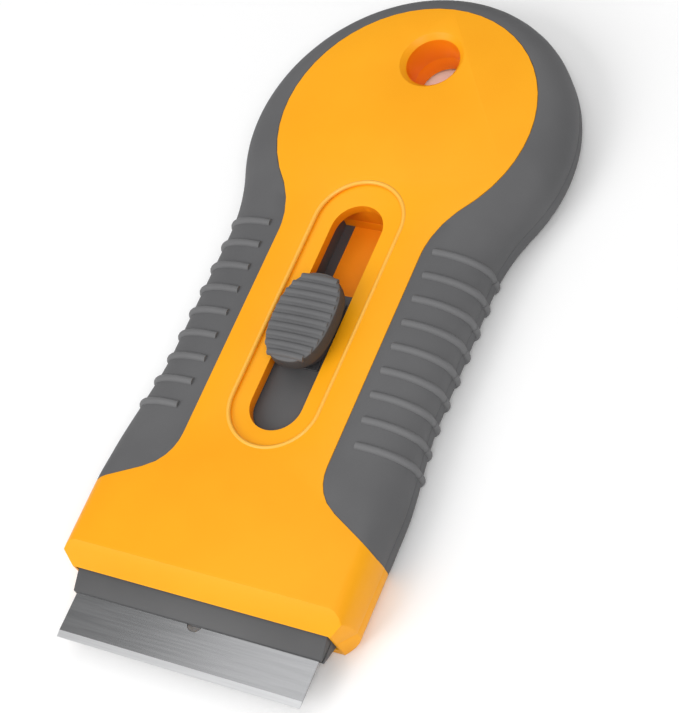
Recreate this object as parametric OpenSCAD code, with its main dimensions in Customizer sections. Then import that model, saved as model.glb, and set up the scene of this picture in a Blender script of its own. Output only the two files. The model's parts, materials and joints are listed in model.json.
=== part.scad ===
// Razor scraper: two-shell slide handle with a soft grip and a clamped single-edge blade.
// Millimetres, +Z up, lying on its flat back, blade towards -Y.

/* [Handle] */
// Handle thickness
thickness = 8.8; // [8.4:0.1:11]
// Parting line below the face
part_down = 5.25; // [5:0.05:5.6]
// Side wall beside the blade holder
front_wall = 2.6; // [2.4:0.1:4]
// Waist drawn in from the front, each side
waist_draw = 1.7; // [1:0.1:3]
// Head wider than the waist, each side
head_swell = 4.4; // [3:0.1:6]
// Head centre, behind the front bevel
head_y = 73.2; // [71:0.1:80]
// Radius of the sweep from waist to head
sweep_r = 30; // [20:1:40]
// Front bevel, along and down
bevel = 2.9; // [2:0.1:3]
// Front corner cut
corner_cut = 2.2; // [0.5:0.1:2.3]
// Top edge rounding, inwards
round_in = 7; // [4:0.5:8]
// Top edge rounding, downwards
round_down = 4.1; // [2.5:0.1:4.3]
// Front edge rounding, inwards
front_in = 2.6; // [2:0.1:4]
// Back edge rounding
back_round = 2.4; // [1.5:0.1:3]

/* [Face] */
// Face half-width at the waist
face_waist = 11.6; // [11.4:0.1:12.5]
// Grip width round the head
head_band = 5.6; // [4:0.1:7]
// Face head centre behind the head centre
face_shift = 2; // [1:0.1:2.5]
// Radius of the face sweep from waist to head
face_sweep_r = 14; // [8:1:20]
// Radius of the front flare
flare_r = 7; // [5:0.5:8]
// Centre of the front flare
flare_y = 19; // [18:0.5:20]

/* [Slot] */
// Slot half-width
slot_half = 4.07; // [3.5:0.05:4.5]
// Front end centre
slot_front = 26.5; // [25:0.5:28]
// Rear end centre
slot_rear = 55.7; // [55:0.1:58]
// Recessed pad half-width
pad_half = 7; // [6:0.1:8]
// Recessed pad depth
pad_deep = 0.6; // [0.3:0.1:1]
// Pad longer than the slot at the rear
pad_run = 0.9; // [0:0.1:2]

/* [Hang hole] */
// Bore radius
hole_r = 4.2; // [3:0.1:5]
// Bore centre from the head's rear
hole_in = 12.9; // [11.5:0.1:14]
// Rim chamfer
hole_rim = 0.8; // [0.3:0.1:1.2]

/* [Grip] */
// Front tip of the grip
grip_front = 8.9; // [8.6:0.1:9.4]
// Ribs on each side
rib_count = 9; // [5:1:10]
// Rib pitch
rib_pitch = 3.89; // [3:0.01:4]
// First rib
rib_first = 22.95; // [22:0.05:24]
// Rib width
rib_wide = 1.2; // [0.8:0.1:1.6]
// Rib height
rib_proud = 0.5; // [0.3:0.1:0.8]
// Inner end of the ribs
rib_inner = 13.5; // [13:0.1:15]

/* [Blade] */
// Blade width
blade_wide = 39; // [38:0.1:39.2]
// Blade depth, edge to back
blade_deep = 19; // [18:0.1:19.2]
// Blade thickness
blade_thick = 0.23; // [0.2:0.01:0.3]
// Edge in front of the bevel's top line
edge_reach = 12.55; // [11.5:0.05:13]
// Spine depth
spine_deep = 6; // [5:0.1:6.5]
// Spine sheet thickness
spine_sheet = 0.35; // [0.25:0.05:0.4]
// Ground edge width
ground = 1; // [0.6:0.1:1.4]
// Half-width of the blade's middle slot
blade_slot = 1.15; // [1:0.05:1.3]
// Front of the middle slot from the edge
blade_slot_in = 5.85; // [5.6:0.05:6.2]
// Radius of the side notches
notch = 1.3; // [1:0.1:1.5]

/* [Holder] */
// Holder wider than the blade, each side
holder_side = 0.5; // [0.3:0.05:0.8]
// Holder front, in front of the bevel's top line
holder_front = 5.8; // [5:0.1:6.5]
// Lower jaw thickness
jaw_low = 1.9; // [1.6:0.1:2]
// Upper jaw thickness
jaw_high = 1.7; // [1.5:0.1:1.8]
// Length of the sloped nose
nose = 3.3; // [2:0.1:3.5]
// Height of the jaw tips
tip = 0.35; // [0.3:0.05:0.8]
// Carriage plate half-width
stem_half = 5.6; // [5:0.1:5.8]
// Carriage plate thickness
stem_thick = 1.9; // [1.6:0.1:2]
// Roof of the slot between pad and carriage deck
roof = 1.5; // [1.2:0.1:1.8]
// Front of the raised deck
deck_front = 21; // [20.5:0.1:22]

/* [Button] */
// Button length
button_long = 14.6; // [13:0.1:16]
// Button width
button_wide = 9.4; // [8.5:0.1:10.5]
// Button height above its skirt
button_high = 2.9; // [2.5:0.1:4]
// Button centre
button_y = 38.9; // [38:0.1:40]
// Neck length in the slot
neck_long = 12; // [10:0.1:12.4]
// Press travel
press = 1; // [0.6:0.1:1.2]
// Guide pin radius
pin_r = 1.5; // [1.2:0.1:1.8]
// Guide pin length below the deck
pin_reach = 2.4; // [2:0.1:2.8]
// Spring leaf width
leaf_wide = 5.6; // [5:0.1:7]
// Spring leaf length
leaf_long = 11; // [10:0.1:11.5]
// Spring leaf thickness
leaf = 0.25; // [0.2:0.05:0.35]
// Cross ridges
ridge_count = 8; // [6:1:10]
// Ridge radius
ridge_r = 0.45; // [0.3:0.05:0.6]

/* [Screws] */
// Screw shank radius
screw_r = 1.05; // [0.9:0.05:1.3]
// Screw head radius
screw_head = 2; // [1.8:0.1:2.2]
// Side screw distance from the middle
screw_x = 8.75; // [8.6:0.05:8.9]
// Side screw place along the handle
screw_y = 32; // [28:1:44]
// Head screw place along the handle
screw_rear = 68; // [66:1:72]
// Depth of the head seats
screw_seat = 1.5; // [1.2:0.1:1.8]
// Screw heads below the back
screw_sink = 0.4; // [0.2:0.1:0.6]
// Screw ends below the face
screw_end = 2.2; // [2:0.1:2.6]

/* [Fit] */
// Gap between moving pieces
gap = 0.3; // [0.2:0.05:0.3]
// Play of the blade in its seat
seat_gap = 0.1; // [0.05:0.05:0.2]
// Running clearance of the guide pin
run_gap = 0.08; // [0.04:0.01:0.1]

/* [Hidden] */
travel_back = 13;
holder_half = blade_wide / 2 + holder_side;
front_half = holder_half + gap + front_wall;
waist_half = front_half - waist_draw;
head_r = waist_half + head_swell;
face_head_r = head_r - head_band;
face_head_y = head_y + face_shift;
hole_y = head_y + head_r - hole_in;
part_z = thickness - part_down;
middle_y = (head_y + head_r - edge_reach) / 2;
blade_z = part_z + 0.2;
blade_top = blade_z + blade_thick / 2;
blade_low = blade_z - blade_thick / 2;
blade_back = blade_deep - edge_reach;
spine_front = blade_back - spine_deep;
wall = 0.5;
jaw_back = blade_back + gap + wall;
cap_top = blade_top + jaw_high;
jaw_bottom = blade_low - jaw_low;
stem_low = blade_top - stem_thick;
stem_rear = button_y + neck_long / 2 + 1;
cavity_rear = jaw_back + travel_back + gap;
channel_rear = max(slot_rear + slot_half, stem_rear + travel_back + gap);
neck_half = slot_half - gap;
deck_top = thickness - pad_deep - roof - gap;
neck_low = deck_top + press + gap;
skirt_z = thickness - pad_deep + press + gap;
pin_low = deck_top - pin_reach;
travel_front = 9;
screw_top = thickness - screw_end;
screw_places = [[screw_x, screw_y], [-screw_x, screw_y], [0, screw_rear]];
stud_high = 0.6;
stud_half = blade_slot - 2 * seat_gap;
stud_front = spine_front - 2.9;
stud_rear = spine_front - 1.9;
sweep_dy = sqrt(pow(head_r + sweep_r, 2) - pow(waist_half + sweep_r, 2));
flare_angle = 62;
flare_low = flare_y - flare_r * sin(flare_angle);
flare_x = face_waist + flare_r * (1 - cos(flare_angle));
sweep_angle = atan2(sweep_dy, waist_half + sweep_r);
sweep_y = head_y - sweep_dy;
face_dy = sqrt(pow(face_head_r + face_sweep_r, 2) - pow(face_waist + face_sweep_r, 2));
face_angle = atan2(face_dy, face_waist + face_sweep_r);
face_y = face_head_y - face_dy;
taper_from = 15;
taper_to = 32;
head_n = 14;

function ease(t) = t <= 0 ? 0 : t >= 1 ? 1 : t * t * (3 - 2 * t);

// Half-width of the handle's side between the front and the sweep.
function side(y) = front_half - (front_half - waist_half) * ease((y - taper_from) / (taper_to - taper_from));

// Half-width of the whole handle, up to the head's middle.
function outer_x(y) = y < sweep_y ? side(y)
    : y < head_y - head_r * sin(sweep_angle)
    ? waist_half + sweep_r - sqrt(pow(sweep_r, 2) - pow(y - sweep_y, 2))
    : sqrt(pow(head_r, 2) - pow(y - head_y, 2));

// Half-width of the bare face, up to the head's middle.
function face_x(y) = y < flare_low
    ? flare_x + (flare_low - y) * tan(flare_angle)
    : y < flare_y ? face_waist + flare_r - sqrt(pow(flare_r, 2) - pow(y - flare_y, 2))
    : y < face_y ? face_waist
    : y < face_head_y - face_head_r * sin(face_angle)
    ? face_waist + face_sweep_r - sqrt(pow(face_sweep_r, 2) - pow(y - face_y, 2))
    : sqrt(pow(face_head_r, 2) - pow(y - face_head_y, 2));

// Places along one side: [y, rib height there].
flare_places = [for (i = [0 : 8]) [grip_front + (flare_y - grip_front) * i / 8, 0]];
rib_places = [for (i = [0 : rib_count - 1]) for (k = [0 : 3])
    [rib_first + i * rib_pitch + rib_wide * [-0.5, -0.32, 0.32, 0.5][k], [0, rib_proud, rib_proud, 0][k]]];
rear_from = max(sweep_y, rib_first + (rib_count - 1) * rib_pitch + rib_wide) + 1;
rear_places = [for (i = [0 : 7]) [rear_from + (head_y - rear_from) * i / 7, 0]];
face_turn = asin((head_y - face_head_y) / face_head_r);

// Stations round the right half: outer point, inner point, rib height.
function stations(places) = concat(
    [for (p = places) [[outer_x(p[0]), p[0]], [face_x(p[0]), p[0]], p[1]]],
    [for (i = [1 : head_n])
        let (a = 90 * i / head_n, b = face_turn + (90 - face_turn) * i / head_n)
        [[head_r * cos(a), head_y + head_r * sin(a)],
            [face_head_r * cos(b), face_head_y + face_head_r * sin(b)], 0]]);

function flip(p) = [-p[0], p[1]];

function both(s) = concat(s, [for (i = [len(s) - 2 : -1 : 0]) [flip(s[i][0]), flip(s[i][1]), s[i][2]]]);

// Inward reach of the rounded edge, from tight at the front to full along the ribs.
function rim_at(y, inward) = let (tight = min(front_in, inward))
    tight + (inward - tight) * ease((y - grip_front) / (rib_first - grip_front));

// Height of the rounded edge at a distance from the outside.
function edge_z(d, rim, knee, top) = d >= rim ? top : knee + (top - knee) * sqrt(1 - pow(1 - d / rim, 2));

// Cross-section of the grip at one station, from the inner foot round the outside to the inner top.
function section(s, foot, knee, top, inward) =
    let (w = norm(s[0] - s[1]), u = (s[1] - s[0]) / w, span = min(inward, 0.98 * w),
        rim = s[1][1] < rib_first ? rim_at(s[1][1], inward) : min(inward, w))
    concat([[s[1][0], s[1][1], foot], [s[0][0] - u[0] * s[2], s[0][1] - u[1] * s[2], foot]],
        [for (t = [0 : 18 : 90])
            let (d = span * (1 - cos(t)), up = top > foot ? 1 : 0,
                lift = abs(s[0][0]) - d > rib_inner ? s[2] : 0, out = d - lift * cos(t))
            [s[0][0] + u[0] * out, s[0][1] + u[1] * out, edge_z(d, rim, knee, top) + up * lift * sin(t)]],
        [[s[1][0], s[1][1], edge_z(w, rim, knee, top)]]);

// Solid swept through the sections; inverted when it hangs below its foot.
module sweep(list, foot, knee, top, inward) {
    rows = [for (s = list) section(s, foot, knee, top, inward)];
    n = len(rows[0]);
    m = len(rows);
    pts = [for (r = rows) for (p = r) p];
    walls = [for (j = [0 : m - 2]) for (i = [0 : n - 1])
        let (a = j * n + i, b = j * n + (i + 1) % n)
        each [[a, b, b + n], [a, b + n, a + n]]];
    first = [for (i = [n - 1 : -1 : 0]) i];
    last = [for (i = [0 : n - 1]) (m - 1) * n + i];
    faces = concat([first, last], walls);
    turned = [for (f = faces) [for (i = [len(f) - 1 : -1 : 0]) f[i]]];
    polyhedron(points = pts, faces = top > foot ? faces : turned, convexity = 8);
}

module face_plan() {
    p = concat([[front_half, -bevel], [front_half, grip_front]],
        [for (s = stations(concat(flare_places, rib_places, rear_places))) s[1]]);
    polygon(concat(p, [for (i = [len(p) - 2 : -1 : 0]) flip(p[i])]));
}

// Rounded long edge of the front, taken off one side of a shell.
module front_edge(foot, knee, top, inward) {
    for (s = [0, 1])
        mirror([s, 0, 0])
            translate([0, taper_from, 0])
                rotate([90, 0, 0])
                    linear_extrude(taper_from + bevel + 1)
                        polygon(concat([for (t = [0 : 18 : 72])
                            [front_half - inward * (1 - cos(t)), knee + (top - knee) * sin(t)]],
                            [[front_half - inward * 0.98, top], [front_half - inward, 2 * top - foot],
                                [front_half + 5, 2 * top - foot], [front_half + 5, knee]]));
}

// Straight-sided slot shape with round ends.
module stadium(half, from, to, low, high) {
    translate([0, from, low])
        cylinder(r = half, h = high - low, $fn = 48);
    translate([0, to, low])
        cylinder(r = half, h = high - low, $fn = 48);
    translate([-half, from, low])
        cube([2 * half, to - from, high - low]);
}

module box(half, from, to, low, high) {
    translate([-half, from, low])
        cube([2 * half, to - from, high - low]);
}

// Cuts shared by both shells: hang bore, front corners, holder room and carriage channel.
module shell_cuts() {
    translate([0, hole_y, -1])
        cylinder(r = hole_r, h = thickness + 2, $fn = 64);
    for (s = [-1, 1])
        translate([s * front_half, -bevel, -1])
            rotate([0, 0, 45])
                translate([-corner_cut / sqrt(2), -corner_cut / sqrt(2), 0])
                    cube([corner_cut * sqrt(2), corner_cut * sqrt(2), thickness + 2]);
    holder_room();
    box(stem_half + gap, cavity_rear - 1, channel_rear, stem_low - gap, deck_top + gap);
    box(stem_half + gap, deck_front - travel_front - gap, cavity_rear, cap_top, deck_top + gap);
}

module front_bevel() {
    translate([front_half + 1, 0, thickness])
        rotate([90, 0, -90])
            linear_extrude(2 * front_half + 2)
                polygon([[0, 0], [bevel + 1, -bevel - 1], [bevel + 1, 1], [-1, 1]]);
}

module screw_holes(r, low, high) {
    for (p = screw_places)
        translate([p[0], p[1], low])
            cylinder(r = r, h = high - low, $fn = 32);
}

module top_shell() {
    color([1, 0.62, 0.08])
    difference() {
        translate([0, 0, part_z])
            linear_extrude(thickness - part_z)
                face_plan();
        shell_cuts();
        front_bevel();
        front_edge(part_z, thickness - round_down, thickness, front_in);
        stadium(pad_half, slot_front, slot_rear + pad_run, thickness - pad_deep, thickness + 1);
        stadium(slot_half, slot_front, slot_rear, part_z - 1, thickness + 1);
        translate([0, hole_y, thickness - hole_rim])
            cylinder(r1 = hole_r, r2 = hole_r + 2 * hole_rim, h = 2 * hole_rim, $fn = 64);
        screw_holes(screw_r, part_z - 1, screw_top);
    }
}

module bottom_shell() {
    color([1, 0.6, 0.07])
    difference() {
        linear_extrude(part_z)
            face_plan();
        shell_cuts();
        front_edge(part_z, back_round, 0, min(front_in, back_round));
        translate([0, hole_y, -hole_rim])
            cylinder(r1 = hole_r + 2 * hole_rim, r2 = hole_r, h = 2 * hole_rim, $fn = 64);
        screw_holes(screw_r, 0, part_z + 1);
        screw_holes(screw_head, -1, screw_seat);
    }
}

module holder_room() {
    box(holder_half + gap, -bevel - 1, cavity_rear, jaw_bottom - gap, cap_top + gap);
}

module top_grip() {
    color([0.36, 0.36, 0.37])
    difference() {
        sweep(both(stations(concat(flare_places, rib_places, rear_places))), part_z, thickness - round_down,
            thickness, round_in);
        holder_room();
    }
}

module bottom_grip() {
    color([0.34, 0.34, 0.35])
    difference() {
        sweep(both(stations(concat(flare_places, rib_places, rear_places))), part_z, back_round, 0, back_round);
        holder_room();
    }
}

module case_screws() {
    color([0.55, 0.56, 0.58])
    for (p = screw_places)
        translate([p[0], p[1], 0])
            difference() {
                union() {
                    translate([0, 0, screw_sink])
                        cylinder(r = screw_head - gap / 2, h = screw_seat - screw_sink, $fn = 32);
                    translate([0, 0, screw_seat])
                        cylinder(r = screw_r, h = screw_top - screw_seat, $fn = 32);
                }
                for (a = [0, 90])
                    rotate([0, 0, a])
                        translate([-1.3, -0.25, screw_sink - 1])
                            cube([2.6, 0.5, 1.8]);
            }
}

// Side profile of a jaw, run across the holder.
module across(half, points) {
    translate([half, 0, 0])
        rotate([90, 0, -90])
            linear_extrude(2 * half)
                polygon([for (p = points) [-p[0], p[1]]]);
}

module stud(low, high, grow) {
    stadium(stud_half + grow, stud_front, stud_rear, low, high);
}

// Room for the folded spine between the jaws.
module spine_room(low, high) {
    box(blade_wide / 2 + seat_gap, spine_front - seat_gap, blade_back + seat_gap, low, high);
}

module slide_carriage() {
    color([0.37, 0.37, 0.38])
    difference() {
        union() {
            across(holder_half, [[-holder_front, blade_low - tip], [-holder_front, blade_low],
                [jaw_back, blade_low], [jaw_back, jaw_bottom], [-holder_front + nose, jaw_bottom]]);
            box(holder_half, jaw_back - wall, jaw_back, blade_low - 1, blade_top);
            box(stem_half, jaw_back - wall, stem_rear, stem_low, blade_top);
            box(stem_half, deck_front, stem_rear, stem_low, deck_top);
            stud(blade_low - 1, blade_top + stud_high, 0);
        }
        spine_room(blade_low - spine_sheet, blade_top + 1);
        translate([0, button_y, stem_low - 1])
            cylinder(r = pin_r + run_gap, h = deck_top - stem_low + 2, $fn = 48);
    }
}

module blade_cap() {
    color([0.35, 0.35, 0.36])
    difference() {
        across(holder_half, [[-holder_front, blade_top], [-holder_front, blade_top + tip],
            [-holder_front + nose, cap_top], [jaw_back, cap_top], [jaw_back, blade_top]]);
        spine_room(blade_top - 1, blade_top + spine_sheet);
        stud(blade_top - 1, blade_top + stud_high + seat_gap, seat_gap);
    }
}

module blade() {
    color([0.72, 0.73, 0.75])
    difference() {
        across(blade_wide / 2, [[-edge_reach, blade_z - 0.02], [-edge_reach, blade_z + 0.02],
            [-edge_reach + ground, blade_top], [blade_back - seat_gap, blade_top], [blade_back - seat_gap, blade_low],
            [-edge_reach + ground, blade_low]]);
        stadium(blade_slot, blade_slot_in - edge_reach + blade_slot, stud_rear + seat_gap, blade_low - 1,
            blade_top + 1);
        for (s = [-1, 1])
            translate([s * blade_wide / 2, (stud_front + stud_rear) / 2, blade_low - 1])
                cylinder(r = notch, h = blade_thick + 2, $fn = 32);
    }
}

module blade_spine() {
    color([0.66, 0.67, 0.69])
    difference() {
        box(blade_wide / 2, spine_front, blade_back, blade_low - spine_sheet,
            blade_top + spine_sheet);
        box(blade_wide, spine_front - 1, blade_back - seat_gap, blade_low, blade_top);
    }
}

// Arched leaf: flat feet on the carriage deck, flat crown under the button's neck.
module lock_spring() {
    foot = leaf_long / 2;
    heel = foot - 4 * leaf;
    crown = foot - 14 * leaf;
    low = [[-foot, 0], [-heel, 0], [-crown, neck_low - leaf - deck_top], [crown, neck_low - leaf - deck_top],
        [heel, 0], [foot, 0]];
    top = [for (i = [5 : -1 : 0]) [low[i][0] + sign(low[i][0]) * (abs(low[i][0]) == foot ? 0 : leaf / 2),
        low[i][1] + leaf]];
    color([0.7, 0.7, 0.72])
    difference() {
        across(leaf_wide / 2, [for (q = concat(low, top)) [button_y + q[0], deck_top + q[1]]]);
        translate([0, button_y, deck_top - 1])
            cylinder(r = pin_r + gap, h = neck_low + 2 - deck_top, $fn = 48);
    }
}

// Oval of the button, drawn in to the given shares at its top.
module oval(high, top) {
    linear_extrude(high, scale = top)
        polygon([for (a = [0 : 5 : 355]) [button_wide / 2 * cos(a), button_long / 2 * sin(a)]]);
}

module thumb_button() {
    ridge_span = 0.8 * button_long;
    pitch = ridge_span / (ridge_count - 1);
    color([0.36, 0.36, 0.37])
    union() {
        stadium(neck_half, button_y - neck_long / 2 + neck_half, button_y + neck_long / 2 - neck_half,
            neck_low, skirt_z + 0.4);
        translate([0, button_y, pin_low])
            cylinder(r = pin_r, h = neck_low - pin_low + 0.5, $fn = 48);
        translate([0, button_y, skirt_z]) {
            oval(0.5 * button_high, 1);
            translate([0, 0, 0.5 * button_high])
                oval(0.5 * button_high - ridge_r * 0.8, [0.95, 0.96]);
        }
        for (i = [0 : ridge_count - 1]) {
            y = -ridge_span / 2 + i * pitch;
            reach = 0.46 * button_wide * sqrt(1 - pow(y / (0.5 * button_long), 2));
            translate([-reach, button_y + y, skirt_z + button_high - ridge_r])
                rotate([0, 90, 0])
                    cylinder(r = ridge_r, h = 2 * reach, $fn = 24);
        }
    }
}

module placed() {
    translate([0, -middle_y, 0])
        children();
}

placed() top_shell();
placed() bottom_shell();
placed() top_grip();
placed() bottom_grip();
placed() case_screws();
placed() slide_carriage();
placed() blade_cap();
placed() blade();
placed() blade_spine();
placed() lock_spring();
placed() thumb_button();
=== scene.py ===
"""Razor scraper: shells, soft grip, thumb slider and clamped blade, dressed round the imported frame."""

import json
import math

import bmesh
import bpy
from mathutils import Matrix, Vector

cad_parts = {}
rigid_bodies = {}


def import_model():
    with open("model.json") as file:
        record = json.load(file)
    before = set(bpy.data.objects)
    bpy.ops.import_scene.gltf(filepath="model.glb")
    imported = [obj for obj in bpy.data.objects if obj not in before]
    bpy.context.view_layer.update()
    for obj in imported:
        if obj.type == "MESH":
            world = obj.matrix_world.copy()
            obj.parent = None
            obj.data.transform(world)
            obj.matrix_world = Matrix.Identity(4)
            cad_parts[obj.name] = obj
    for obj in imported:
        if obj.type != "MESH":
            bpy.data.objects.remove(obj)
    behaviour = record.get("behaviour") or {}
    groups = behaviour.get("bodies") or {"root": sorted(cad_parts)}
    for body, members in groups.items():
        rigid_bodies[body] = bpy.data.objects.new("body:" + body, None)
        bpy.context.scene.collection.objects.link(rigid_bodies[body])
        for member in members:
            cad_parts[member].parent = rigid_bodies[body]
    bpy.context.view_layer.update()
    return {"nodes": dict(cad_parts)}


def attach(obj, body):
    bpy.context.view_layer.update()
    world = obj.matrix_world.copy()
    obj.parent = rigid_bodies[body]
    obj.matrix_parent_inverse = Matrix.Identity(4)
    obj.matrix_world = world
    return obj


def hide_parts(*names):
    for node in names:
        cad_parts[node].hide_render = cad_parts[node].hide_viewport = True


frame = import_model()

# Sizes are in millimetres. Y counts from the front bevel's top line, and the frame's origin is at MIDDLE_Y
MM = 0.001
MIDDLE_Y = 43.125

# Handle: thickness, parting line, and the plan outline from the front to the round head
THICK, PART_Z = 8.8, 3.55
FRONT_HALF, WAIST_HALF = 22.9, 21.2
TAPER_FROM, TAPER_TO = 15.0, 32.0
HEAD_R, HEAD_Y, SWEEP_R = 25.6, 73.2, 30.0
SWEEP_DY = math.sqrt((HEAD_R + SWEEP_R) ** 2 - (WAIST_HALF + SWEEP_R) ** 2)
SWEEP_ANGLE = math.atan2(SWEEP_DY, WAIST_HALF + SWEEP_R)
SWEEP_Y = HEAD_Y - SWEEP_DY

# Bare face: flare at the front, straight waist, and a head inside the handle's
FACE_WAIST = 11.6
FACE_HEAD_R, FACE_HEAD_Y, FACE_SWEEP_R = 20.0, 75.2, 14.0
FACE_DY = math.sqrt((FACE_HEAD_R + FACE_SWEEP_R) ** 2 - (FACE_WAIST + FACE_SWEEP_R) ** 2)
FACE_ANGLE = math.atan2(FACE_DY, FACE_WAIST + FACE_SWEEP_R)
FACE_Y = FACE_HEAD_Y - FACE_DY
FLARE_R, FLARE_Y, FLARE_ANGLE = 7.0, 19.0, math.radians(62)
FLARE_LOW = FLARE_Y - FLARE_R * math.sin(FLARE_ANGLE)
FLARE_X = FACE_WAIST + FLARE_R * (1 - math.cos(FLARE_ANGLE))

# Mouth at the front face, hang hole, recessed pad and the channel under the slot's roof
MOUTH_Y, MOUTH_TOP = -2.675, 6.0
HOLE_Y, HOLE_R = 85.9, 4.2
PAD_DEEP, ROOF, GAP, PRESS = 0.6, 1.5, 0.3, 1.0
PAD_HALF, PAD_FROM, PAD_TO = 7.0, 26.5, 56.6
DECK_TOP = THICK - PAD_DEEP - ROOF - GAP
CHANNEL_HALF, CHANNEL_FLOOR = 5.9, 1.67
CHANNEL_FRONT, CHANNEL_REAR = 20.0, 59.77

# Soft grip: rounded edge, wall, the small step at its seams, and where its ribs stand
GRIP_FRONT = 8.9
ROUND_IN, ROUND_DOWN, BACK_ROUND, FRONT_IN = 7.0, 4.1, 2.4, 2.6
UPPER_KNEE = THICK - ROUND_DOWN
SKIN, SEAM = 1.5, 0.14
RIB_COUNT, RIB_PITCH, RIB_FIRST = 9, 3.89, 22.95

# Number of points along curves and round sections
GRIP_STEPS, HEAD_STEPS, RIM_STEPS, LINING_STEPS = 84, 40, 12, 6
RIB_STEPS, RIDGE_STEPS, BEAD_STEPS = 40, 21, 128
PAD_SIDES, PIN_SIDES, TUBE_SIDES, BEAD_SIDES = 72, 40, 14, 12


def place(x, y, z):
    """A point of the handle in millimetres as a place in the frame."""
    return (x * MM, (y - MIDDLE_Y) * MM, z * MM)


# Materials: noise scales are per metre and bump depths in metres
CLOUD_SCALE, CLOUD_DETAIL, FINE_DETAIL = 70, 3, 2
STREAK_SCALE = 3200
RAMP_START, RAMP_END = 0.35, 0.65
PLASTIC_BUMP, STEEL_BUMP, STEEL_DEPTH = 0.25, 0.12, 0.00002
EVEN, LENGTHWISE = (1, 1, 1), (0.03, 1, 1)


def shader(name):
    material = bpy.data.materials.new(name)
    material.use_nodes = True
    tree = material.node_tree
    return material, tree, tree.nodes["Principled BSDF"]


def object_noise(tree, scale, detail, stretch=EVEN):
    """Noise in the piece's own coordinates."""
    coords = tree.nodes.new("ShaderNodeTexCoord")
    mapping = tree.nodes.new("ShaderNodeMapping")
    mapping.inputs["Scale"].default_value = stretch
    noise = tree.nodes.new("ShaderNodeTexNoise")
    noise.inputs["Scale"].default_value = scale
    noise.inputs["Detail"].default_value = detail
    tree.links.new(coords.outputs["Object"], mapping.inputs["Vector"])
    tree.links.new(mapping.outputs["Vector"], noise.inputs["Vector"])
    return noise.outputs["Fac"]


def colour_between(tree, bsdf, source, low, high):
    ramp = tree.nodes.new("ShaderNodeValToRGB")
    ramp.color_ramp.elements[0].position = RAMP_START
    ramp.color_ramp.elements[0].color = (*low, 1)
    ramp.color_ramp.elements[1].position = RAMP_END
    ramp.color_ramp.elements[1].color = (*high, 1)
    tree.links.new(source, ramp.inputs["Fac"])
    tree.links.new(ramp.outputs["Color"], bsdf.inputs["Base Color"])


def roughness_between(tree, bsdf, source, low, high):
    spread = tree.nodes.new("ShaderNodeMapRange")
    spread.inputs["To Min"].default_value = low
    spread.inputs["To Max"].default_value = high
    tree.links.new(source, spread.inputs["Value"])
    tree.links.new(spread.outputs["Result"], bsdf.inputs["Roughness"])


def fine_bump(tree, bsdf, source, strength, depth):
    bump = tree.nodes.new("ShaderNodeBump")
    bump.inputs["Strength"].default_value = strength
    bump.inputs["Distance"].default_value = depth
    tree.links.new(source, bump.inputs["Height"])
    tree.links.new(bump.outputs["Normal"], bsdf.inputs["Normal"])


def moulded_plastic(name, low, high, rough, grain, depth, specular):
    """Plastic or rubber with a faint cloud in its colour and a fine moulded grain."""
    material, tree, bsdf = shader(name)
    cloud = object_noise(tree, CLOUD_SCALE, CLOUD_DETAIL)
    grit = object_noise(tree, grain, FINE_DETAIL)
    colour_between(tree, bsdf, cloud, low, high)
    roughness_between(tree, bsdf, grit, *rough)
    fine_bump(tree, bsdf, grit, PLASTIC_BUMP, depth)
    bsdf.inputs["Specular IOR Level"].default_value = specular
    return material


def ground_steel(name, low, high, rough, stretch):
    """Steel with grinding streaks, drawn out along the axis that has the small scale."""
    material, tree, bsdf = shader(name)
    streak = object_noise(tree, STREAK_SCALE, FINE_DETAIL, stretch)
    colour_between(tree, bsdf, streak, low, high)
    roughness_between(tree, bsdf, streak, *rough)
    fine_bump(tree, bsdf, streak, STEEL_BUMP, STEEL_DEPTH)
    bsdf.inputs["Metallic"].default_value = 1.0
    return material


orange_shell = moulded_plastic(
    "orange_shell", low=(0.98, 0.395, 0.004), high=(1.0, 0.42, 0.006),
    rough=(0.4, 0.5), grain=2600, depth=0.000012, specular=0.28)
# Painted shade and bounce light: the shell's plastic made redder and darker, for the faces inside the
# channel and the hang hole
painted_shade_orange = moulded_plastic(
    "painted_shade_orange", low=(0.99, 0.27, 0.003), high=(1.0, 0.30, 0.004),
    rough=(0.45, 0.55), grain=2600, depth=0.000012, specular=0.2)
# Painted highlight: the shell's orange made lighter for the bead round the pad
bead_orange_painted_highlight = moulded_plastic(
    "bead_orange_painted_highlight", low=(1.0, 0.49, 0.055), high=(1.0, 0.51, 0.065),
    rough=(0.3, 0.4), grain=2600, depth=0.000008, specular=0.45)
grey_rubber = moulded_plastic(
    "grey_rubber", low=(0.110, 0.110, 0.113), high=(0.126, 0.126, 0.129),
    rough=(0.6, 0.74), grain=3800, depth=0.00003, specular=0.3)
# Painted highlight: the grip's rubber made lighter for the ribs
rib_rubber_painted_highlight = moulded_plastic(
    "rib_rubber_painted_highlight", low=(0.150, 0.150, 0.153), high=(0.168, 0.168, 0.171),
    rough=(0.55, 0.68), grain=3800, depth=0.00003, specular=0.3)
grey_button = moulded_plastic(
    "grey_button", low=(0.124, 0.124, 0.127), high=(0.142, 0.142, 0.145),
    rough=(0.52, 0.64), grain=3400, depth=0.00002, specular=0.35)
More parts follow.
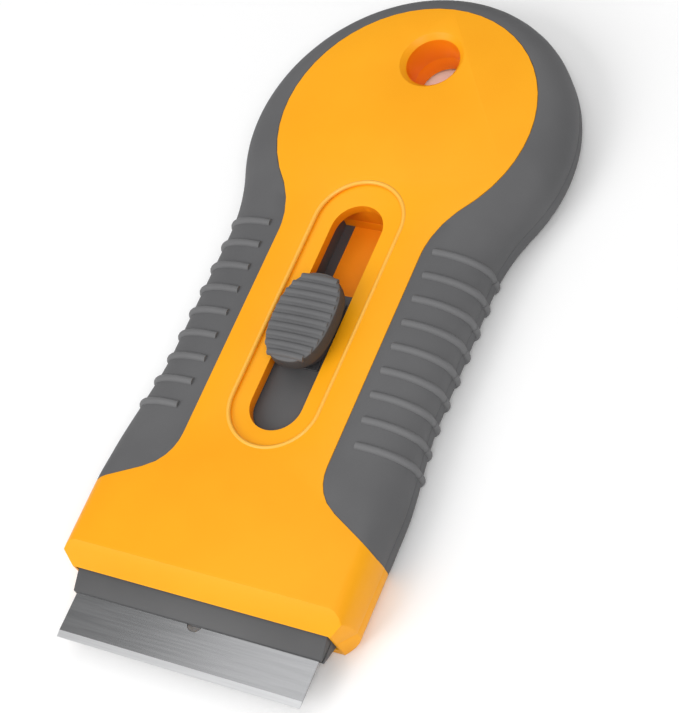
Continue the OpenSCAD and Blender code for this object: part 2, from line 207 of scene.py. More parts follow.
# Painted shade: the slider's own grey plastic made darker, for its steep wall
button_wall_painted_shade = moulded_plastic(
    "button_wall_painted_shade", low=(0.060, 0.060, 0.062), high=(0.070, 0.070, 0.072),
    rough=(0.55, 0.66), grain=3400, depth=0.00002, specular=0.3)
dark_holder = moulded_plastic(
    "dark_holder", low=(0.078, 0.078, 0.080), high=(0.092, 0.092, 0.094),
    rough=(0.46, 0.58), grain=3000, depth=0.00002, specular=0.4)
blade_steel = ground_steel(
    "blade_steel", low=(0.35, 0.353, 0.36), high=(0.39, 0.393, 0.40),
    rough=(0.15, 0.19), stretch=LENGTHWISE)
edge_steel = ground_steel(
    "edge_steel", low=(0.68, 0.685, 0.695), high=(0.74, 0.745, 0.755),
    rough=(0.3, 0.4), stretch=LENGTHWISE)
dark_spring = ground_steel(
    "dark_spring", low=(0.10, 0.10, 0.105), high=(0.15, 0.15, 0.155),
    rough=(0.4, 0.55), stretch=EVEN)
screw_steel = ground_steel(
    "screw_steel", low=(0.42, 0.42, 0.43), high=(0.55, 0.55, 0.56),
    rough=(0.28, 0.42), stretch=EVEN)


# Mesh helpers: angles are in degrees, MERGE in metres
HARD_EDGE, SMOOTH_EDGE, FLAT_EDGE = 32, 40, 0.6
MERGE = 2e-6


def link(name, mesh, material):
    piece = bpy.data.objects.new(name, mesh)
    bpy.context.scene.collection.objects.link(piece)
    mesh.materials.clear()
    mesh.materials.append(material)
    return piece


def dressed(piece, body, slot, *nodes):
    """Say which body a piece rides on and the nodes that it stands in for; the slot is not used."""
    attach(piece, body)
    if nodes:
        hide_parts(*nodes)


def baked(piece):
    """Replace a piece's mesh by its evaluated one and drop the modifiers."""
    graph = bpy.context.evaluated_depsgraph_get()
    mesh = bpy.data.meshes.new_from_object(piece.evaluated_get(graph), depsgraph=graph)
    piece.modifiers.clear()
    piece.data = mesh


def smooth(mesh, degrees):
    mesh.polygons.foreach_set("use_smooth", [True] * len(mesh.polygons))
    mesh.set_sharp_from_angle(angle=math.radians(degrees))


def mesh_from(shape, name):
    """A mesh of what a bmesh holds; the bmesh is freed."""
    mesh = bpy.data.meshes.new(name)
    shape.to_mesh(mesh)
    shape.free()
    return mesh


def bridge(shape, rows):
    """Faces between neighbouring closed rows of points, and a cap at each end."""
    count = len(rows[0])
    for a, b in zip(rows, rows[1:]):
        for i in range(count):
            j = (i + 1) % count
            shape.faces.new((a[i], a[j], b[j], b[i]))
    shape.faces.new(rows[0])
    shape.faces.new(rows[-1])


def mouth_edge(edge):
    """Edges of the mouth at the front face, whose legs are too narrow to be eased."""
    spot = (edge.verts[0].co + edge.verts[1].co) / 2
    return spot.y < (MOUTH_Y - MIDDLE_Y) * MM and spot.z < MOUTH_TOP * MM


def to_ease(edge, body):
    """True for the hard edges that get a bevel."""
    hard = edge.calc_face_angle(0.0) > math.radians(HARD_EDGE)
    return hard and not (body == "handle" and mouth_edge(edge))


def softened(node, name, material, radius, body, slot, segments=3):
    """A copy of a node's solid with its hard edges eased, standing in for the node."""
    shape = bmesh.new()
    shape.from_mesh(frame["nodes"][node].data)
    bmesh.ops.remove_doubles(shape, verts=shape.verts, dist=MERGE)
    bmesh.ops.dissolve_limit(shape, angle_limit=math.radians(FLAT_EDGE), verts=shape.verts,
                             edges=shape.edges)
    weights = [float(to_ease(edge, body)) for edge in shape.edges]
    mesh = mesh_from(shape, name)
    mesh.attributes.new("bevel_weight_edge", "FLOAT", "EDGE").data.foreach_set("value", weights)
    piece = link(name, mesh, material)
    bevel = piece.modifiers.new("eased_edges", "BEVEL")
    bevel.width = radius * MM
    bevel.segments = segments
    bevel.limit_method = "WEIGHT"
    bevel.use_clamp_overlap = True
    baked(piece)
    smooth(piece.data, HARD_EDGE)
    dressed(piece, body, slot, node)
    return piece


# Plan outlines: half widths of the handle and of the bare face
def ease(t):
    """Smooth step from 0 to 1."""
    t = min(max(t, 0.0), 1.0)
    return t * t * (3 - 2 * t)


def outer_x(y):
    if y < SWEEP_Y:
        return FRONT_HALF - (FRONT_HALF - WAIST_HALF) * ease((y - TAPER_FROM) / (TAPER_TO - TAPER_FROM))
    if y < HEAD_Y - HEAD_R * math.sin(SWEEP_ANGLE):
        return WAIST_HALF + SWEEP_R - math.sqrt(SWEEP_R ** 2 - (y - SWEEP_Y) ** 2)
    return math.sqrt(HEAD_R ** 2 - (y - HEAD_Y) ** 2)


def face_x(y):
    if y < FLARE_LOW:
        return FLARE_X + (FLARE_LOW - y) * math.tan(FLARE_ANGLE)
    if y < FLARE_Y:
        return FACE_WAIST + FLARE_R - math.sqrt(FLARE_R ** 2 - (y - FLARE_Y) ** 2)
    if y < FACE_Y:
        return FACE_WAIST
    if y < FACE_HEAD_Y - FACE_HEAD_R * math.sin(FACE_ANGLE):
        return FACE_WAIST + FACE_SWEEP_R - math.sqrt(FACE_SWEEP_R ** 2 - (y - FACE_Y) ** 2)
    return math.sqrt(FACE_HEAD_R ** 2 - (y - FACE_HEAD_Y) ** 2)


def round_point(radius, centre_y, angle):
    """A plan point on a circle whose centre is on the handle's middle line."""
    return Vector((radius * math.cos(angle), centre_y + radius * math.sin(angle)))


# Section of the grip: shares of its width, the lip's most in millimetres, then shares of seam and wall
SPAN_SHARE, WALL_SHARE, LIP_SHARE, LIP_MOST = 0.96, 0.45, 0.02, 0.3
FOOT_IN, FOOT_TALL = 0.3, 3
LINING_LAG = 0.2


def grip_stations():
    """Outer and inner points from the right front corner over the head to the left one.

    The third value marks the stations in front of the ribs, where the edge is tighter.
    """
    right = []
    for i in range(GRIP_STEPS + 1):
        y = GRIP_FRONT + (HEAD_Y - GRIP_FRONT) * i / GRIP_STEPS
        right.append((Vector((outer_x(y), y)), Vector((face_x(y), y)), y < RIB_FIRST))
    quarter = math.pi / 2
    turn = math.asin((HEAD_Y - FACE_HEAD_Y) / FACE_HEAD_R)
    for i in range(1, HEAD_STEPS + 1):
        outer = round_point(HEAD_R, HEAD_Y, quarter * i / HEAD_STEPS)
        inner = round_point(FACE_HEAD_R, FACE_HEAD_Y, turn + (quarter - turn) * i / HEAD_STEPS)
        right.append((outer, inner, False))
    left = [(Vector((-p.x, p.y)), Vector((-q.x, q.y)), front) for p, q, front in reversed(right[:-1])]
    return right + left


def rim_at(y, inward):
    """Inward reach of the rounded edge, tight at the front and full along the ribs."""
    tight = min(FRONT_IN, inward)
    return tight + (inward - tight) * ease((y - GRIP_FRONT) / (RIB_FIRST - GRIP_FRONT))


def edge_z(d, rim, knee, top):
    """Height of the rounded edge at a distance d in from the outline."""
    if d >= rim:
        return top
    return knee + (top - knee) * math.sqrt(max(0.0, 1 - (1 - d / rim) ** 2))


def grip_section(station, knee, top, inward):
    """Closed skin section: the outside from foot to border, then back along the inside."""
    outer, inner, front = station
    width = (outer - inner).length
    inwards = (inner - outer) / width
    span = min(inward, SPAN_SHARE * width)
    rim = rim_at(inner.y, inward) if front else min(inward, width)
    sign = 1 if top > PART_Z else -1
    outside = [(SEAM, PART_Z), (SEAM * FOOT_IN, PART_Z + sign * SEAM),
               (0.0, PART_Z + sign * FOOT_TALL * SEAM)]
    for k in range(RIM_STEPS + 1):
        d = span * (1 - math.cos(math.pi / 2 * k / RIM_STEPS))
        outside.append((d, edge_z(d, rim, knee, top)))
    border = edge_z(width, rim, knee, top)
    outside += [(width - min(LIP_MOST, LIP_SHARE * width), border), (width, border - sign * SEAM)]
    wall = min(SKIN, WALL_SHARE * width)
    inside = [(width, border - sign * SKIN)]
    for k in range(1, LINING_STEPS):
        d = wall + (width - wall) * (1 - k / LINING_STEPS) ** 2
        inside.append((d, edge_z(d - wall * LINING_LAG, rim, knee, top) - sign * SKIN))
    inside.append((wall, PART_Z))
    return [(outer + inwards * d, z) for d, z in outside + inside]


def grip_half(name, knee, top, inward, node):
    """One half of the grip, swept through its stations."""
    shape = bmesh.new()
    sections = [grip_section(station, knee, top, inward) for station in grip_stations()]
    bridge(shape, [[shape.verts.new(place(p.x, p.y, z)) for p, z in section] for section in sections])
    bmesh.ops.recalc_face_normals(shape, faces=shape.faces)
    mesh = mesh_from(shape, name)
    smooth(mesh, SMOOTH_EDGE)
    dressed(link(name, mesh, grey_rubber), "handle", "grip", node)


# Geometry node helpers
class Tree:
    """A geometry node group with named sizes as inputs, and short calls for its nodes."""

    def __init__(self, name, sizes):
        self.group = bpy.data.node_groups.new(name, "GeometryNodeTree")
        self.group.interface.new_socket("Geometry", in_out="OUTPUT", socket_type="NodeSocketGeometry")
        self.ids = {}
        for label, value in sizes.items():
            kind = "NodeSocketInt" if isinstance(value, int) else "NodeSocketFloat"
            socket = self.group.interface.new_socket(label, in_out="INPUT", socket_type=kind)
            self.ids[label] = socket.identifier
        self.sizes = sizes
        self.given = self.group.nodes.new("NodeGroupInput")
        self.result = self.group.nodes.new("NodeGroupOutput")

    def size(self, label):
        return self.given.outputs[label]

    def node(self, kind, **settings):
        made = self.group.nodes.new(kind)
        for key, value in settings.items():
            setattr(made, key, value)
        return made

    def join(self, source, target):
        """Link a socket to an input, or set the input where a plain value is given."""
        if hasattr(source, "links"):
            self.group.links.new(source, target)
        else:
            target.default_value = source

    def math(self, operation, a, b=0.0):
        made = self.node("ShaderNodeMath", operation=operation)
        self.join(a, made.inputs[0])
        self.join(b, made.inputs[1])
        return made.outputs[0]

    def spread(self, value, source, target, kind="LINEAR"):
        """Map a value from one pair of limits to another."""
        made = self.node("ShaderNodeMapRange", interpolation_type=kind)
        self.join(value, made.inputs["Value"])
        self.join(source[0], made.inputs["From Min"])
        self.join(source[1], made.inputs["From Max"])
        self.join(target[0], made.inputs["To Min"])
        self.join(target[1], made.inputs["To Max"])
        return made.outputs["Result"]

    def vector(self, x, y, z):
        made = self.node("ShaderNodeCombineXYZ")
        for given, socket in zip((x, y, z), made.inputs):
            self.join(given, socket)
        return made.outputs[0]

    def along(self):
        """Share of a curve's length at each of its points."""
        return self.node("GeometryNodeSplineParameter").outputs["Factor"]

    def fine_line(self, start, end, count):
        line = self.node("GeometryNodeCurvePrimitiveLine")
        line.inputs["Start"].default_value = start
        line.inputs["End"].default_value = end
        fine = self.node("GeometryNodeResampleCurve")
        fine.inputs["Count"].default_value = count
        self.join(line.outputs[0], fine.inputs["Curve"])
        return fine.outputs[0]

    def circle(self, radius, count):
        ring = self.node("GeometryNodeCurvePrimitiveCircle")
        ring.inputs["Resolution"].default_value = count
        self.join(radius, ring.inputs["Radius"])
        return ring.outputs[0]

    def numbered(self, count):
        """Points still to be placed, and the number of each."""
        row = self.node("GeometryNodeMeshLine")
        self.join(count, row.inputs["Count"])
        return row.outputs[0], self.node("GeometryNodeInputIndex").outputs[0]

    def moved(self, geometry, vector, socket="Position"):
        """Put points at a position, or shift them where the socket is Offset."""
        made = self.node("GeometryNodeSetPosition")
        self.join(geometry, made.inputs["Geometry"])
        self.join(vector, made.inputs[socket])
        return made.outputs[0]

    def copies(self, points, instance):
        made = self.node("GeometryNodeInstanceOnPoints")
        self.join(points, made.inputs["Points"])
        self.join(instance, made.inputs["Instance"])
        return made

    def real(self, geometry):
        made = self.node("GeometryNodeRealizeInstances")
        self.join(geometry, made.inputs[0])
        return made.outputs[0]

    def thinned(self, curve, share):
        """Scale a tube's section along its curve."""
        made = self.node("GeometryNodeSetCurveRadius")
        self.join(curve, made.inputs["Curve"])
        self.join(share, made.inputs["Radius"])
        return made.outputs[0]

    def round_tube(self, curve, sides, caps):
        """A smooth tube along a curve; the group's Radius is that of its section."""
        tube = self.node("GeometryNodeCurveToMesh")
        tube.inputs["Fill Caps"].default_value = caps
        self.join(curve, tube.inputs["Curve"])
        self.join(self.circle(self.size("Radius"), sides), tube.inputs["Profile Curve"])
        soft = self.node("GeometryNodeSetShadeSmooth")
        self.join(tube.outputs[0], soft.inputs["Geometry"])
        return soft.outputs[0]

    def build(self, geometry, name, material):
        """End the group with real, painted geometry and bake it to a plain piece."""
        paint = self.node("GeometryNodeSetMaterial")
        paint.inputs["Material"].default_value = material
        self.join(self.real(geometry), paint.inputs["Geometry"])
        self.join(paint.outputs[0], self.result.inputs[0])
        piece = link(name, bpy.data.meshes.new(name), material)
        modifier = piece.modifiers.new("made", "NODES")
        modifier.node_group = self.group
        for label, value in self.sizes.items():
            modifier[self.ids[label]] = value
        baked(piece)
        return piece


# Ribs across the grip. TURN_FROM and TURN_TO are the shares of a rib's length where it rounds the edge
RIB_LEAD, RIB_RADIUS, RIB_FOOT, RIB_SINK = 0.9, 0.62, 0.06, 0.14
RIB_SETTLE = 0.965
TURN_FROM, TURN_TO = 0.14, 0.72
RIB_TIP, RIB_TIP_SIZE = 0.08, 0.3
UPPER_RIB_START, LOWER_RIB_START = math.radians(89), math.radians(55)


def rib_line(tree):
    """Centre line of a rib: out across the face, round the edge and down the side.

    Its angle counts from the side, so that a rib with a start near a right angle begins on the face.
    """
    along = tree.along()
    angle = tree.spread(along, (TURN_FROM, TURN_TO), (tree.size("Start angle"), 0.0))
    inner = tree.spread(along, (0.0, TURN_FROM), (tree.size("Lead"), 0.0))
    drop = tree.spread(along, (TURN_TO, 1.0), (0.0, 1.0))
    reach = tree.math("SUBTRACT", tree.size("Round in"), tree.size("Sink"))
    x = tree.math("MULTIPLY", reach, tree.math("COSINE", angle))
    x = tree.math("SUBTRACT", tree.math("SUBTRACT", x, tree.size("Round in")), inner)
    z = tree.math("MULTIPLY", tree.size("Rise"), tree.math("SINE", angle))
    z = tree.math("ADD", tree.math("MULTIPLY", z, RIB_SETTLE), tree.size("Knee"))
    z = tree.math("ADD", z, tree.math("MULTIPLY", drop, tree.size("Drop")))
    bent = tree.moved(tree.fine_line((0, 0, 0), (0, 0, 1), RIB_STEPS), tree.vector(x, 0.0, z))
    return tree.thinned(bent, tree.spread(along, (0.0, RIB_TIP), (RIB_TIP_SIZE, 1.0), "SMOOTHSTEP"))


def rib_spots(tree, sign):
    """Points on the handle's outline along one side, one for each rib."""
    points, index = tree.numbered(tree.size("Ribs"))
    y = tree.math("ADD", tree.math("MULTIPLY", index, tree.size("Pitch")), tree.size("First"))
    taper = (tree.size("Taper from"), tree.size("Taper to"))
    half = tree.spread(y, taper, (tree.size("Front half"), tree.size("Waist half")), "SMOOTHSTEP")
    return tree.moved(points, tree.vector(tree.math("MULTIPLY", half, float(sign)), y, 0.0))


def grip_ribs(name, knee, top, foot, inward, start, lead):
    """Cross ribs on both sides of one grip half, each a tapered half-round over the rounded edge."""
    tree = Tree(name + "_tree", {
        "Ribs": RIB_COUNT, "Pitch": RIB_PITCH * MM, "First": (RIB_FIRST - MIDDLE_Y) * MM,
        "Radius": RIB_RADIUS * MM, "Front half": FRONT_HALF * MM, "Waist half": WAIST_HALF * MM,
        "Taper from": (TAPER_FROM - MIDDLE_Y) * MM, "Taper to": (TAPER_TO - MIDDLE_Y) * MM,
        "Round in": inward * MM, "Rise": (top - knee) * MM, "Knee": knee * MM, "Drop": (foot - knee) * MM,
        "Start angle": start, "Sink": RIB_SINK * MM, "Lead": lead * MM})
    rib = tree.round_tube(rib_line(tree), TUBE_SIDES, caps=True)
    sides = tree.node("GeometryNodeJoinGeometry")
    for sign in (1, -1):
        copies = tree.copies(rib_spots(tree, sign), rib)
        copies.inputs["Rotation"].default_value = (0, 0, 0 if sign > 0 else math.pi)
        tree.join(copies.outputs[0], sides.inputs[0])
    # The ribs take a lighter rubber than the grip, as painted highlight.
    dressed(tree.build(sides.outputs[0], name, rib_rubber_painted_highlight), "handle", "grip")


# Thumb slider: a steep oval pad on a neck, with a guide pin below and rounded ridges across its top
BUTTON_Y, BUTTON_LONG, BUTTON_WIDE = 38.9, 14.6, 9.4
BUTTON_SKIRT = THICK - PAD_DEEP + PRESS + GAP
NECK_LOW, NECK_HALF, NECK_RUN, NECK_OVERLAP = DECK_TOP + PRESS + GAP, 3.77, 6.0, 0.1
PIN_R, PIN_REACH, PIN_OVERLAP = 1.5, 2.4, 0.2
PAD_SQUARE, PAD_FALL = 0.8, 0.12
# Share of the full oval and height over the skirt, from the pad's foot to its top
PAD_LEVELS = [(0.97, 0.0), (0.995, 0.08), (1.0, 0.3), (1.0, 1.95), (0.99, 2.2), (0.965, 2.36),
              (0.92, 2.44), (0.6, 2.47), (0.3, 2.48)]
WALL_SLOPE = 0.4
RIDGE_COUNT, RIDGE_R, RIDGE_Z, RIDGE_CROWN, RIDGE_BOW = 10, 0.55, 2.3, 0.3, 0.8
RIDGE_SPAN, RIDGE_REACH = 0.85, 0.935
RIDGE_TIP, RIDGE_TIP_SIZE = 0.44, 0.55


def turns():
    """Cosine and sine at even steps round a ring of the slider."""
    angles = [2 * math.pi * i / PAD_SIDES for i in range(PAD_SIDES)]
    return [(math.cos(a), math.sin(a)) for a in angles]


def neck_ring(z):
    """Ring of the neck, two half circles a little way apart."""
    run = NECK_RUN - NECK_HALF
    return [(NECK_HALF * c, NECK_HALF * s + math.copysign(run, s), z) for c, s in turns()]


def pad_ring(share, rise):
    """Squared oval ring of the pad, lower towards its two ends."""
    ring = []
    for c, s in turns():
        x = BUTTON_WIDE / 2 * share * math.copysign(abs(c) ** PAD_SQUARE, c)
        y = BUTTON_LONG / 2 * share * math.copysign(abs(s) ** PAD_SQUARE, s)
        ring.append((x, y, BUTTON_SKIRT + rise - PAD_FALL * (2 * y / BUTTON_LONG) ** 2 * rise))
    return ring


def thumb_slider():
    """The slider's body; its wall gets a darker copy of its grey plastic than its top, as painted shade.
    """
    shape = bmesh.new()
    rings = [neck_ring(NECK_LOW), neck_ring(BUTTON_SKIRT + NECK_OVERLAP)]
    rings += [pad_ring(share, rise) for share, rise in PAD_LEVELS]
    bridge(shape, [[shape.verts.new(place(x, BUTTON_Y + y, z)) for x, y, z in ring] for ring in rings])
    pin_low = DECK_TOP - PIN_REACH
    depth = NECK_LOW + PIN_OVERLAP - pin_low
    pin = bmesh.ops.create_cone(shape, cap_ends=True, segments=PIN_SIDES, radius1=PIN_R * MM,
                                radius2=PIN_R * MM, depth=depth * MM)
    bmesh.ops.translate(shape, verts=pin["verts"], vec=place(0, BUTTON_Y, pin_low + depth / 2))
    bmesh.ops.recalc_face_normals(shape, faces=shape.faces)
    mesh = mesh_from(shape, "thumb_slider")
    smooth(mesh, SMOOTH_EDGE)
    piece = link("thumb_slider", mesh, grey_button)
    mesh.materials.append(button_wall_painted_shade)
    # Painted shade: faces steeper than WALL_SLOPE take the darker copy of the plastic
    for face in mesh.polygons:
        if face.normal.z < WALL_SLOPE:
            face.material_index = 1
    dressed(piece, "button", "button", "thumb_button")


def ridge_spots(tree):
    """Middle points of the ridges on the crowned top, and how far each reaches sideways."""
    points, index = tree.numbered(tree.size("Ridges"))
    last = tree.math("SUBTRACT", tree.size("Ridges"), 1.0)
    part = tree.math("SUBTRACT", tree.math("DIVIDE", index, last), 0.5)
    y = tree.math("MULTIPLY", part, tree.size("Span"))
    share = tree.math("DIVIDE", y, tree.size("Half length"))
    crown = tree.math("MULTIPLY", tree.math("MULTIPLY", share, share), tree.size("Crown"))
    z = tree.math("SUBTRACT", tree.size("Height"), crown)
    corner = tree.math("DIVIDE", 2.0, tree.size("Square"))
    filled = tree.math("POWER", tree.math("ABSOLUTE", share), corner)
    half_square = tree.math("DIVIDE", tree.size("Square"), 2.0)
    chord = tree.math("POWER", tree.math("SUBTRACT", 1.0, filled), half_square)
    reach = tree.math("MULTIPLY", tree.math("MULTIPLY", chord, tree.size("Half width")), RIDGE_REACH)
    return tree.moved(points, tree.vector(0.0, tree.math("ADD", y, tree.size("Middle")), z)), reach


def slider_ridges():
    """Rounded ridges right across the slider's top, each as long as the oval is wide there."""
    tree = Tree("slider_ridges_tree", {
        "Ridges": RIDGE_COUNT, "Span": RIDGE_SPAN * BUTTON_LONG * MM, "Middle": (BUTTON_Y - MIDDLE_Y) * MM,
        "Height": (BUTTON_SKIRT + RIDGE_Z) * MM, "Radius": RIDGE_R * MM, "Crown": RIDGE_CROWN * MM,
        "Half width": 0.5 * BUTTON_WIDE * MM, "Half length": 0.5 * BUTTON_LONG * MM, "Square": PAD_SQUARE})
    points, reach = ridge_spots(tree)
    off_middle = tree.math("SUBTRACT", tree.along(), 0.5)
    dip = tree.math("MULTIPLY", tree.math("MULTIPLY", off_middle, off_middle), -RIDGE_BOW * MM)
    line = tree.fine_line((-1, 0, 0), (1, 0, 0), RIDGE_STEPS)
    copies = tree.copies(points, tree.moved(line, tree.vector(0.0, 0.0, dip), "Offset"))
    tree.join(tree.vector(reach, 1.0, 1.0), copies.inputs["Scale"])
    far = tree.math("ABSOLUTE", off_middle)
    tips = tree.spread(far, (RIDGE_TIP, 0.5), (1.0, RIDGE_TIP_SIZE), "SMOOTHSTEP")
    ridges = tree.round_tube(tree.thinned(tree.real(copies.outputs[0]), tips), TUBE_SIDES, caps=True)
    dressed(tree.build(ridges, "slider_ridges", grey_button), "button", "button")


# Rounded line round the recessed pad, in a lighter orange as painted highlight
BEAD_R = 0.32
NOT_ZERO = 1e-7


def pad_bead():
    tree = Tree("pad_bead_tree", {
        "Half": PAD_HALF * MM, "Run": (PAD_TO - PAD_FROM) / 2 * MM, "Radius": BEAD_R * MM,
        "Middle": ((PAD_FROM + PAD_TO) / 2 - MIDDLE_Y) * MM, "Height": (THICK - BEAD_R / 2) * MM})
    spot = tree.node("GeometryNodeInputPosition")
    parts = tree.node("ShaderNodeSeparateXYZ")
    tree.join(spot.outputs[0], parts.inputs[0])
    side = tree.math("SIGN", tree.math("ADD", parts.outputs[1], NOT_ZERO))
    shift = tree.math("ADD", tree.math("MULTIPLY", side, tree.size("Run")), tree.size("Middle"))
    loop = tree.circle(tree.size("Half"), BEAD_STEPS)
    loop = tree.moved(loop, tree.vector(0.0, shift, tree.size("Height")), "Offset")
    bead = tree.round_tube(loop, BEAD_SIDES, caps=False)
    dressed(tree.build(bead, "pad_bead", bead_orange_painted_highlight), "handle", "shell")


# Paint on parts of a piece: the blade's ground band, and painted shade and bounce light on the inside of
# slot and hang hole
EDGE_BAND = 1.15
# The inside begins INSIDE_SKIN below the outer faces, and each NEAR is the slack at a border
INSIDE_SKIN, CHANNEL_NEAR, PAD_NEAR, HOLE_NEAR = 1.0, 0.05, 0.4, 0.1


def polish_edge(blade):
    """Give the ground band along the cutting edge its own brighter steel."""
    mesh = blade.data
    mesh.materials.append(edge_steel)
    edge = min(v.co.y for v in mesh.vertices)
    for face in mesh.polygons:
        if face.center.y < edge + EDGE_BAND * MM:
            face.material_index = 1


def in_channel(x, y, z):
    inside = abs(x) < CHANNEL_HALF + CHANNEL_NEAR and CHANNEL_FRONT < y < CHANNEL_REAR + CHANNEL_NEAR
    return inside and INSIDE_SKIN < z < THICK - PAD_DEEP - PAD_NEAR


def in_hole(x, y, z):
    return math.hypot(x, y - HOLE_Y) < HOLE_R + HOLE_NEAR and INSIDE_SKIN < z < THICK - INSIDE_SKIN


def paint_inside_shade(shell):
    """Painted shade and bounce light: the faces in the channel and down the hang hole get a redder, darker
    orange.
    """
    mesh = shell.data
    mesh.materials.append(painted_shade_orange)
    for face in mesh.polygons:
        x, y, z = face.center.x / MM, face.center.y / MM + MIDDLE_Y, face.center.z / MM
        if in_channel(x, y, z) or in_hole(x, y, z):
            face.material_index = 1


# Dark strips in the channel: thin sheets that paint shade along its sides
STRIP_THICK, STRIP_HALF, STRIP_HIGH = 0.12, 4.3, 6.2
STRIP_FRONT, STRIP_REAR = CHANNEL_FRONT + 1, CHANNEL_REAR - 0.02


def painted_shade_strips():
    """Painted shade: thin dark strips along both sides of the channel, over its wall and the edge of its
    floor.
    """
    section = [(CHANNEL_HALF, CHANNEL_FLOOR), (STRIP_HALF, CHANNEL_FLOOR),
               (STRIP_HALF, CHANNEL_FLOOR + STRIP_THICK),
               (CHANNEL_HALF - STRIP_THICK, CHANNEL_FLOOR + STRIP_THICK),
               (CHANNEL_HALF - STRIP_THICK, STRIP_HIGH), (CHANNEL_HALF, STRIP_HIGH)]
    shape = bmesh.new()
    for side in (1, -1):
        bridge(shape, [[shape.verts.new(place(side * x, y, z)) for x, z in section]
                       for y in (STRIP_FRONT, STRIP_REAR)])
    bmesh.ops.recalc_face_normals(shape, faces=shape.faces)
    dressed(link("painted_shade_strips", mesh_from(shape, "painted_shade_strips"), dark_holder), "handle", "holder")


# The object's pieces
SHELL_EASE, HOLDER_EASE, SCREW_EASE = 0.3, 0.2, 0.15
SPINE_EASE, SPRING_EASE, BLADE_EASE = 0.08, 0.05, 0.02
paint_inside_shade(softened("top_shell", "upper_shell", orange_shell, SHELL_EASE, "handle", "shell"))
paint_inside_shade(softened("bottom_shell", "lower_shell", orange_shell, SHELL_EASE, "handle", "shell"))
grip_half("upper_grip", UPPER_KNEE, THICK, ROUND_IN, "top_grip")
grip_half("lower_grip", BACK_ROUND, 0.0, BACK_ROUND, "bottom_grip")
grip_ribs("upper_ribs", UPPER_KNEE, THICK, PART_Z + RIB_FOOT, ROUND_IN, UPPER_RIB_START, RIB_LEAD)
grip_ribs("lower_ribs", BACK_ROUND, 0.0, PART_Z - RIB_FOOT, BACK_ROUND, LOWER_RIB_START, 0.0)
softened("case_screws", "case_screw_set", screw_steel, SCREW_EASE, "handle", "screw")
softened("slide_carriage", "carriage_plate", dark_holder, HOLDER_EASE, "carriage", "holder")
softened("blade_cap", "upper_jaw", dark_holder, HOLDER_EASE, "carriage", "holder")
polish_edge(softened("blade", "razor_blade", blade_steel, BLADE_EASE, "carriage", "steel", segments=1))
softened("blade_spine", "blade_back", blade_steel, SPINE_EASE, "carriage", "steel")
softened("lock_spring", "leaf_spring", dark_spring, SPRING_EASE, "carriage", "screw")
thumb_slider()
slider_ridges()
pad_bead()
painted_shade_strips()


# Floor and light, in metres
FLOOR_REACH, FLOOR_DROP = 1.2, 0.0002
FLOOR_CLOUD, FLOOR_ROUGH = 6, 0.9


def studio_floor():
    mesh = bpy.data.meshes.new("studio_floor")
    corners = [(-FLOOR_REACH, -FLOOR_REACH, 0), (FLOOR_REACH, -FLOOR_REACH, 0),
               (FLOOR_REACH, FLOOR_REACH, 0), (-FLOOR_REACH, FLOOR_REACH, 0)]
    mesh.from_pydata(corners, [], [(0, 1, 2, 3)])
    material, tree, bsdf = shader("pale_floor")
    cloud = object_noise(tree, FLOOR_CLOUD, FINE_DETAIL)
    colour_between(tree, bsdf, cloud, low=(0.97, 0.97, 0.97), high=(0.99, 0.99, 0.99))
    bsdf.inputs["Roughness"].default_value = FLOOR_ROUGH
    bsdf.inputs["Specular IOR Level"].default_value = 0.0
    floor = link("studio_floor", mesh, material)
    floor.location.z = -FLOOR_DROP


def soft_box(name, spot, target, size, watts):
    light = bpy.data.lights.new(name, "AREA")
    light.shape = "SQUARE"
    light.size = size
    light.energy = watts
    lamp = bpy.data.objects.new(name, light)
    lamp.location = spot
    lamp.rotation_euler = (Vector(target) - Vector(spot)).to_track_quat("-Z", "Y").to_euler()
    bpy.context.scene.collection.objects.link(lamp)


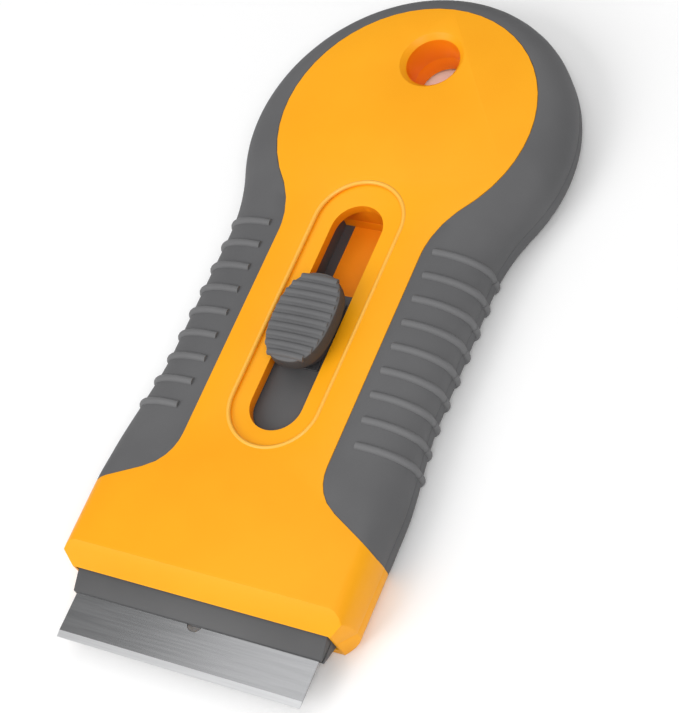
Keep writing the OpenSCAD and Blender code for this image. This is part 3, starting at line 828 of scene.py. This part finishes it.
def pale_world(strength):
    world = bpy.data.worlds.new("pale_room")
    bpy.context.scene.world = world
    world.use_nodes = True
    sky = world.node_tree.nodes["Background"]
    sky.inputs["Color"].default_value = (1, 1, 1, 1)
    sky.inputs["Strength"].default_value = strength


# Camera as fitted to the photo: place in millimetres, FOCAL and PHOTO_HIGH in the photo's pixels
AZIMUTH, ELEVATION, ROLL = math.radians(51.665), math.radians(53.232), math.radians(-33.575)
AIM_X, AIM_Y, DISTANCE = 6.016, 35.471, 301.082
FOCAL, PHOTO_HIGH = 2179, 713
# Width of the sensor in millimetres, and the nearest depth that is drawn in metres
SENSOR, CLIP_START = 36, 0.01
# Sideways and downward move of the camera that shares the misfit between face and outline
FRAME_RIGHT, FRAME_DOWN = 0.28, 0.2


def photo_camera():
    target = Vector(place(AIM_X, AIM_Y, THICK))
    back = Vector((math.sin(AZIMUTH) * math.cos(ELEVATION), -math.cos(AZIMUTH) * math.cos(ELEVATION),
                   math.sin(ELEVATION)))
    level = (-back).cross(Vector((0, 0, 1))).normalized()
    upright = level.cross(-back)
    across = math.cos(ROLL) * level + math.sin(ROLL) * upright
    upward = math.cos(ROLL) * upright - math.sin(ROLL) * level
    camera = bpy.data.cameras.new("photo_camera")
    camera.sensor_width = SENSOR
    camera.lens = SENSOR * FOCAL / PHOTO_HIGH
    camera.clip_start = CLIP_START
    holder = bpy.data.objects.new("photo_camera", camera)
    axes = Matrix((across, upward, back)).transposed().to_4x4()
    framing = across * FRAME_RIGHT * MM - upward * FRAME_DOWN * MM
    holder.matrix_world = Matrix.Translation(target + back * DISTANCE * MM + framing) @ axes
    bpy.context.scene.collection.objects.link(holder)
    bpy.context.scene.camera = holder


studio_floor()
soft_box("key_light", spot=(-0.42, -0.62, 0.62), target=(0, 0, 0), size=0.6, watts=4.2)
soft_box("front_fill", spot=(0.45, -0.35, 0.76), target=(0, 0, 0), size=0.4, watts=3.4)
soft_box("blade_card", spot=(-0.10, 0.12, 0.6), target=(-0.10, 0.12, 0), size=0.5, watts=0.85)
pale_world(strength=0.34)
photo_camera()
bpy.context.scene.view_settings.view_transform = "Standard"
